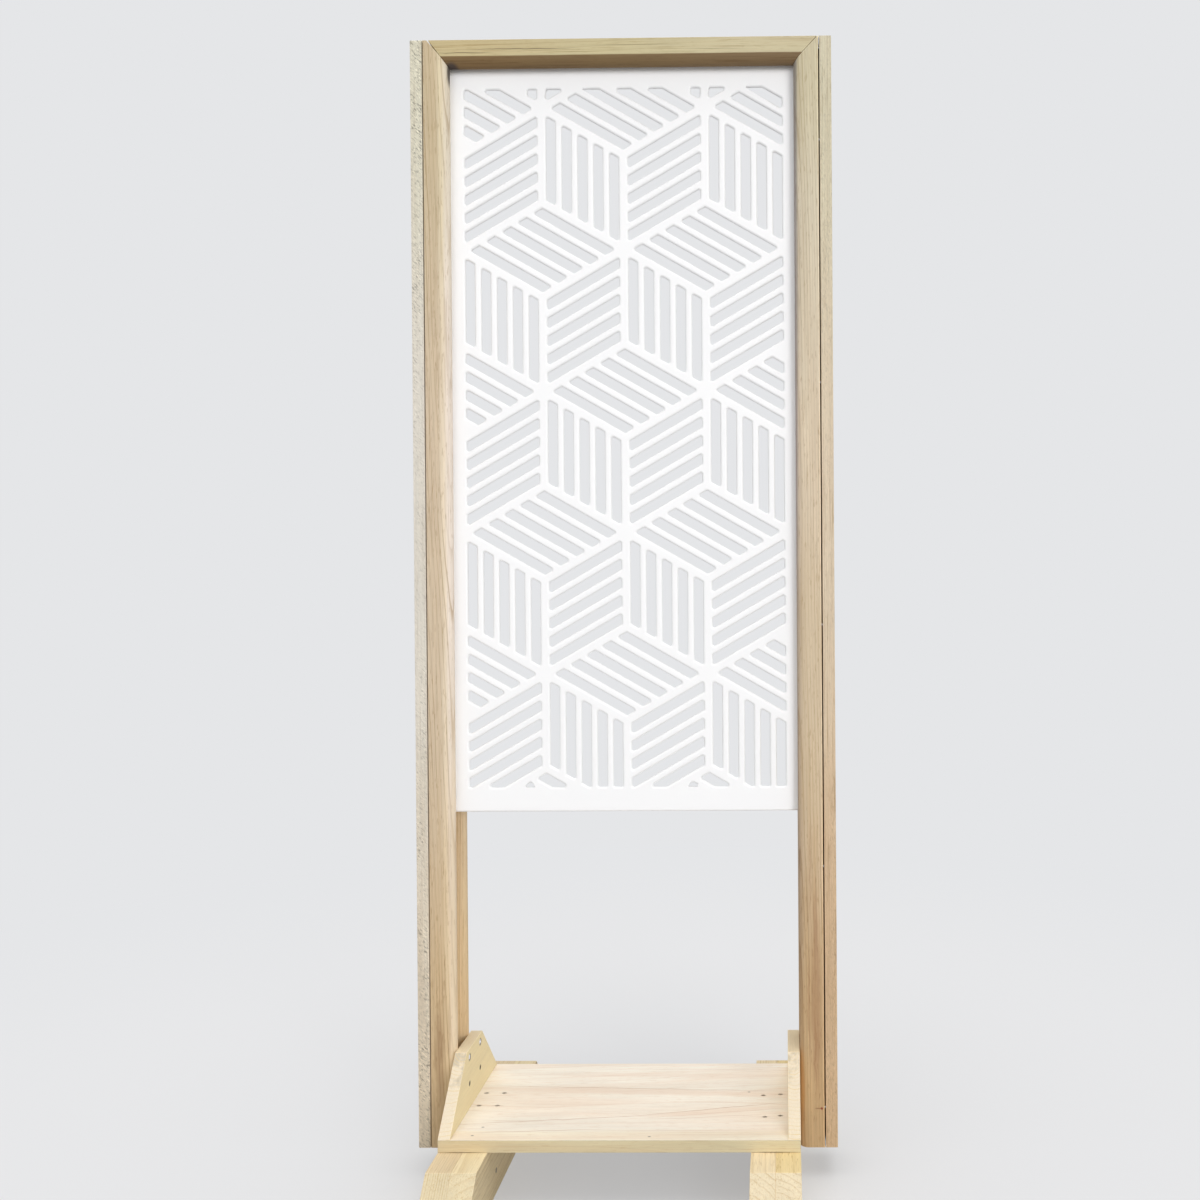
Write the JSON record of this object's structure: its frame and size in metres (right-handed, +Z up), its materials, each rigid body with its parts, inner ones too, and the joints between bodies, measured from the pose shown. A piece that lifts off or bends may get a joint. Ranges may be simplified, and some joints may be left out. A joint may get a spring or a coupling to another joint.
{
  "type": "room divider",
  "caption": "Free-standing room divider: slotted cube-pattern screen panel in a timber post frame, on a shelf board with gussets and two 45-degree cut feet.",
  "frame": {"origin": "on the floor, in the middle of the divider's width and depth", "axes": "+Z up, +X to the right along the shelf, and the front with the mitred face of the screen looks along -Y"},
  "size_m": [0.675, 0.584, 1.829],
  "materials": {
    "side_board_wood": "rough sawn, unfinished, grey-pink beige",
    "stile_wood": "planed, unfinished, tan",
    "rail_wood": "planed, unfinished, yellow tan",
    "spacer_wood": "planed, unfinished",
    "shelf_wood": "planed, unfinished, pale cream",
    "gusset_wood": "planed, unfinished, pale yellow",
    "foot_wood": "planed, unfinished, pale yellow",
    "panel_plastic": "satin white moulded polymer",
    "zinc_screw": "bright zinc plate",
    "dark_screw": "dark coated"
  },
  "bodies": {
    "root": {"left_side_board": "side_board_wood", "right_side_board": "side_board_wood", "front_left_stile": "stile_wood", "front_right_stile": "stile_wood", "front_top_rail": "rail_wood", "rear_left_stile": "stile_wood", "rear_right_stile": "stile_wood", "rear_top_rail": "rail_wood", "left_spacer": "spacer_wood", "right_spacer": "spacer_wood", "top_spacer": "spacer_wood", "screen_panel": "panel_plastic", "panel_screws": "zinc_screw", "panel_washers": "zinc_screw", "shelf_board": "shelf_wood", "left_gusset": "gusset_wood", "right_gusset": "gusset_wood", "left_foot_outer_ply": "foot_wood", "left_foot_inner_ply": "foot_wood", "right_foot_outer_ply": "foot_wood", "right_foot_inner_ply": "foot_wood", "shelf_screws": "dark_screw", "gusset_screws": "zinc_screw", "gusset_edge_screws": "zinc_screw", "side_board_screws": "zinc_screw", "spacer_screws": "zinc_screw", "mitre_screws": "zinc_screw", "foot_screws": "zinc_screw"}
  },
  "joints": []
}
